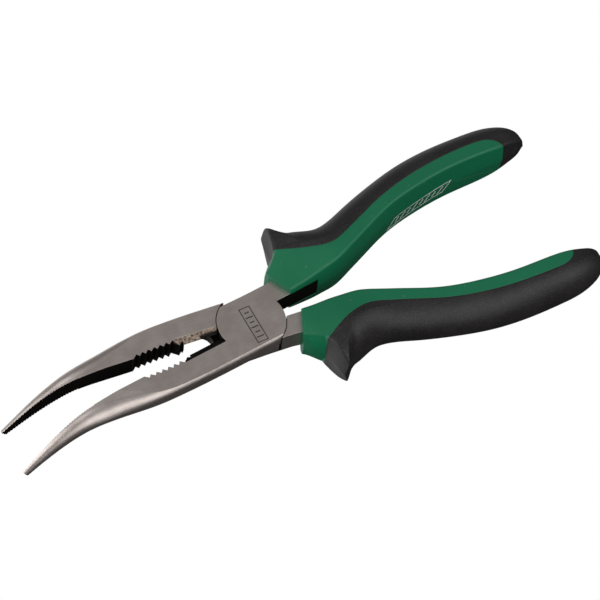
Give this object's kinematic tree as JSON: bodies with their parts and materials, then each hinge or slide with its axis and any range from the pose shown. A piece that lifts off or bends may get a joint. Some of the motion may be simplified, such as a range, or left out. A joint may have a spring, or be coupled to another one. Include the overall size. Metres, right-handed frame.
{
  "type": "bent long nose pliers",
  "caption": "Bent long nose pliers with lap joint, side cutter, pipe teeth and two-colour guarded grips that open and close about a flush rivet.",
  "frame": {"origin": "on the pivot axis, at the flat back face of the lap joint", "axes": "+Z along the pivot axis from the back face to the front face, +X towards the handle ends along the closed jaws' middle line, +Y towards the upper handle; the jaw tips are at -X and bend to -Z"},
  "size_m": [0.2009, 0.0706, 0.0279],
  "materials": {
    "steel_front": "ground satin",
    "steel_back": "ground satin",
    "rivet_steel": "ground flush",
    "green_plastic": "satin moulded",
    "black_soft_grip": "matte fine grain"
  },
  "bodies": {
    "front_half": {"front_jaw_half": "steel_front", "pivot_rivet": "rivet_steel", "upper_grip_core": "green_plastic", "upper_grip_sleeve": "black_soft_grip"},
    "back_half": {"back_jaw_half": "steel_back", "lower_grip_core": "green_plastic", "lower_grip_sleeve": "black_soft_grip"}
  },
  "joints": [
    {"name": "jaw_pivot", "type": "hinge", "parent": "front_half", "child": "back_half", "pos_m": [0, 0, 0.00385], "axis": [0, 0, -1], "range_deg": [-10.35, 25]}
  ]
}
